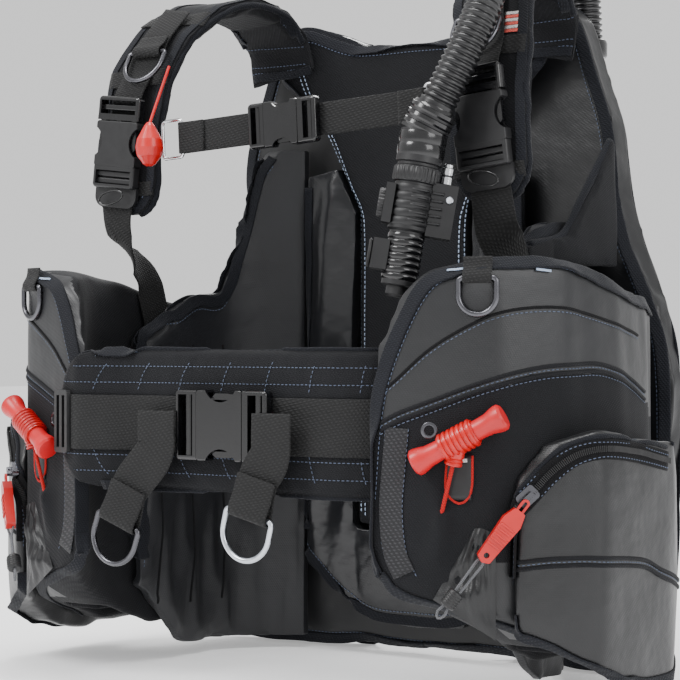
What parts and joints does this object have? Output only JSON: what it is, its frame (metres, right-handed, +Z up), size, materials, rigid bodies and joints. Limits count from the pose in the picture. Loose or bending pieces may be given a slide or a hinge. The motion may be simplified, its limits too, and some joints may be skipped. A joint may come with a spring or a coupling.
{
  "type": "buoyancy compensator vest",
  "caption": "Jacket-style diving vest with rear air cell, padded straps, cummerbund, side pockets, power inflator and tank band.",
  "frame": {"origin": "on the axis of the cylinder held by the tank band, at the middle of the band's height", "axes": "+X to the wearer's left, -Y to the wearer's front, +Z up"},
  "size_m": [0.6816, 0.575, 0.7446],
  "materials": {
    "nylon": "woven nylon, matt",
    "coated_nylon": "coated nylon, soft sheen",
    "inner_cell": "coated nylon, hidden",
    "webbing": "woven webbing, matt",
    "black_plastic": "moulded, slightly grained",
    "gloss_plastic": "moulded, glossy",
    "red_plastic": "moulded, satin red",
    "red_cord": "braided red cord",
    "grey_cord": "braided grey cord",
    "dark_steel": "blackened",
    "chrome": "polished wire",
    "aluminium": "satin",
    "rubber": "moulded, matt",
    "hose_rubber": "corrugated, satin"
  },
  "bodies": {
    "harness": {"back_pad": "nylon", "back_plate": "black_plastic", "belt_slide": "black_plastic", "bladder": "inner_cell", "cam_buckle": "black_plastic", "cargo_pocket_left": "coated_nylon", "cargo_pocket_right": "coated_nylon", "cummerbund": "nylon", "dump_valves": "black_plastic", "grab_handle": "webbing", "inflator_body": "black_plastic", "inflator_elbow": "black_plastic", "inflator_hose": "hose_rubber", "lumbar_pads": "coated_nylon", "pocket_panel_left": "nylon", "pocket_panel_right": "nylon", "shoulder_latches": "gloss_plastic", "shoulder_strap_left": "nylon", "shoulder_strap_right": "nylon", "shoulder_webbing": "webbing", "side_panels": "nylon", "tank_band": "webbing", "tank_cradle": "rubber", "underarm_gusset": "nylon", "waist_socket": "gloss_plastic", "waist_webbing": "webbing", "weight_pouches": "inner_cell", "wing_cover": "nylon"},
    "shoulder_socket_left": {"shoulder_socket_left": "black_plastic"},
    "shoulder_socket_right": {"shoulder_socket_right": "black_plastic"},
    "shoulder_ring_left": {"shoulder_ring_left": "dark_steel"},
    "shoulder_ring_right": {"shoulder_ring_right": "dark_steel"},
    "chest_strap": {"sternum_web": "webbing", "sternum_links": "chrome", "sternum_socket": "gloss_plastic"},
    "chest_latch": {"sternum_latch": "gloss_plastic"},
    "belt_latch": {"waist_latch": "gloss_plastic"},
    "tail_left": {"waist_tail_left": "webbing"},
    "tail_right": {"waist_tail_right": "webbing"},
    "tail_ring_left": {"tail_ring_left": "aluminium"},
    "tail_ring_right": {"tail_ring_right": "dark_steel"},
    "pocket_ring_left": {"pocket_ring_left": "dark_steel"},
    "pocket_ring_right": {"pocket_ring_right": "dark_steel"},
    "ripcord_left": {"ripcord_handle_left": "red_plastic", "ripcord_left": "red_cord"},
    "ripcord_right": {"ripcord_handle_right": "red_plastic", "ripcord_right": "red_cord"},
    "slider_left": {"zipper_slider_left": "dark_steel"},
    "slider_right": {"zipper_slider_right": "dark_steel"},
    "puller_left": {"zipper_pull_left": "red_plastic", "pull_cord_left": "grey_cord"},
    "puller_right": {"zipper_pull_right": "red_plastic", "pull_cord_right": "grey_cord"},
    "lock_left": {"cord_lock_left": "black_plastic"},
    "lock_right": {"cord_lock_right": "black_plastic"},
    "inflate_button": {"inflate_button": "black_plastic"},
    "deflate_button": {"deflate_button": "black_plastic"},
    "shoulder_dump_pull": {"shoulder_dump_pull": "red_plastic"},
    "rear_dump_pull": {"rear_dump_pull": "red_plastic"},
    "cam_lever": {"cam_lever": "black_plastic"}
  },
  "joints": [
    {"name": "shoulder_release_left", "type": "slide", "parent": "harness", "child": "shoulder_socket_left", "axis": [0.1132, 0, -0.9936], "range_m": [0, 0.034]},
    {"name": "shoulder_ring_left_swing", "type": "hinge", "parent": "harness", "child": "shoulder_ring_left", "pos_m": [0.189, -0.3215, 0.237], "axis": [-1, 0, 0], "range_deg": [0, 8]},
    {"name": "pocket_ring_left_swing", "type": "hinge", "parent": "harness", "child": "pocket_ring_left", "pos_m": [0.24914, -0.42215, 0.006], "axis": [-0.945, -0.3271, 0], "range_deg": [0, 60]},
    {"name": "ripcord_left_pull", "type": "slide", "parent": "harness", "child": "ripcord_left", "axis": [0.276, -0.03, 0.9607], "range_m": [0, 0.035]},
    {"name": "zip_left", "type": "slide", "parent": "harness", "child": "slider_left", "axis": [0.5819, 0.4623, 0.6691], "range_m": [0, 0.04]},
    {"name": "puller_left_swing", "type": "hinge", "parent": "slider_left", "child": "puller_left", "pos_m": [0.29201, -0.41463, -0.17621], "axis": [-0.617, -0.4902, 0.6157], "range_deg": [0, 60]},
    {"name": "cord_lock_left_slide", "type": "slide", "parent": "puller_left", "child": "lock_left", "axis": [-0.482, -0.383, -0.788], "range_m": [-0.02, 0.009]},
    {"name": "shoulder_release_right", "type": "slide", "parent": "harness", "child": "shoulder_socket_right", "axis": [-0.1132, 0, -0.9936], "range_m": [0, 0.034]},
    {"name": "shoulder_ring_right_swing", "type": "hinge", "parent": "harness", "child": "shoulder_ring_right", "pos_m": [-0.189, -0.3215, 0.237], "axis": [-1, 0, 0], "range_deg": [0, 60]},
    {"name": "pocket_ring_right_swing", "type": "hinge", "parent": "harness", "child": "pocket_ring_right", "pos_m": [-0.24914, -0.42215, 0.006], "axis": [-0.945, 0.3271, 0], "range_deg": [0, 60]},
    {"name": "ripcord_right_pull", "type": "slide", "parent": "harness", "child": "ripcord_right", "axis": [-0.276, -0.03, 0.9607], "range_m": [0, 0.035]},
    {"name": "zip_right", "type": "slide", "parent": "harness", "child": "slider_right", "axis": [-0.5819, 0.4623, 0.6691], "range_m": [0, 0.04]},
    {"name": "puller_right_swing", "type": "hinge", "parent": "slider_right", "child": "puller_right", "pos_m": [-0.29201, -0.41463, -0.17621], "axis": [-0.617, 0.4902, -0.6157], "range_deg": [0, 60]},
    {"name": "cord_lock_right_slide", "type": "slide", "parent": "puller_right", "child": "lock_right", "axis": [0.482, -0.383, -0.788], "range_m": [-0.02, 0.009]},
    {"name": "chest_strap_height", "type": "slide", "parent": "harness", "child": "chest_strap", "axis": [0, 0, 1], "range_m": [-0.02, 0.015]},
    {"name": "chest_release", "type": "slide", "parent": "chest_strap", "child": "chest_latch", "axis": [0.9986, 0, 0.0523], "range_m": [0, 0.03]},
    {"name": "belt_release", "type": "slide", "parent": "harness", "child": "belt_latch", "axis": [1, 0, 0], "range_m": [0, 0.038]},
    {"name": "tail_left_swing", "type": "hinge", "parent": "belt_latch", "child": "tail_left", "pos_m": [0.066, -0.4605, -0.112], "axis": [-1, 0, 0], "range_deg": [0, 40]},
    {"name": "tail_right_swing", "type": "hinge", "parent": "harness", "child": "tail_right", "pos_m": [-0.062, -0.4605, -0.112], "axis": [-1, 0, 0], "range_deg": [0, 40]},
    {"name": "tail_ring_left_swing", "type": "hinge", "parent": "tail_left", "child": "tail_ring_left", "pos_m": [0.044, -0.4625, -0.196], "axis": [-0.9703, 0, 0.2419], "range_deg": [-20, 60]},
    {"name": "tail_ring_right_swing", "type": "hinge", "parent": "tail_right", "child": "tail_ring_right", "pos_m": [-0.104, -0.4625, -0.208], "axis": [-0.9397, 0, 0.342], "range_deg": [-20, 60]},
    {"name": "inflate_press", "type": "slide", "parent": "harness", "child": "inflate_button", "axis": [0.8134, 0.557, -0.1676], "range_m": [0, 0.0035], "stiffness_N_per_m": 600},
    {"name": "deflate_press", "type": "slide", "parent": "harness", "child": "deflate_button", "axis": [0.1146, 0.1289, 0.985], "range_m": [0, 0.005], "stiffness_N_per_m": 600, "springref_m": -0.0005},
    {"name": "shoulder_dump", "type": "slide", "parent": "harness", "child": "shoulder_dump_pull", "axis": [0, 0, -1], "range_m": [0, 0.012], "stiffness_N_per_m": 500, "springref_m": -0.001},
    {"name": "rear_dump", "type": "slide", "parent": "harness", "child": "rear_dump_pull", "axis": [0, 0, -1], "range_m": [0, 0.01], "stiffness_N_per_m": 500, "springref_m": -0.001},
    {"name": "cam_lever_open", "type": "hinge", "parent": "harness", "child": "cam_lever", "pos_m": [0.024, 0.102, 0], "axis": [0, 0, -1], "range_deg": [0, 120]}
  ]
}
